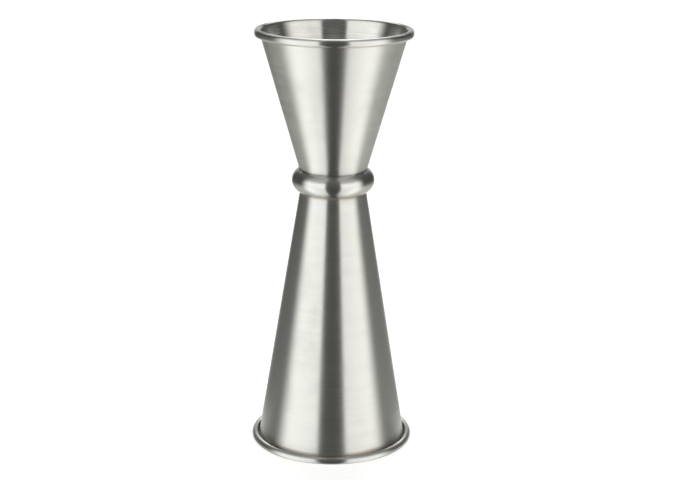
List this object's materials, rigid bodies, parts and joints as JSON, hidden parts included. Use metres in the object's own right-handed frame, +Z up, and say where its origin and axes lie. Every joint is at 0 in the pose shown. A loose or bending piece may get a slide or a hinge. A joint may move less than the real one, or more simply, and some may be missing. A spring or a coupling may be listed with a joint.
{
  "type": "bar jigger",
  "caption": "Slim double-ended bar jigger in brushed steel: a small cup above a taller one, both with rolled rims, and a round collar at the waist.",
  "frame": {"origin": "centre of the circle that the large cup's rim stands on", "axes": "+Z up along the axis of both cups, from the large cup's mouth to the small cup's mouth; X and Y are any pair across it, because the part is round"},
  "size_m": [0.045, 0.045, 0.1162],
  "materials": {
    "cup_steel": "satin, brushed round the axis, with polished rims",
    "collar_steel": "fine satin, nearly polished, brushed round the axis",
    "weld_steel": "plain, hidden between the floors"
  },
  "bodies": {
    "root": {"small_cup": "cup_steel", "large_cup": "cup_steel", "collar": "collar_steel", "weld_nugget": "weld_steel"}
  },
  "joints": []
}
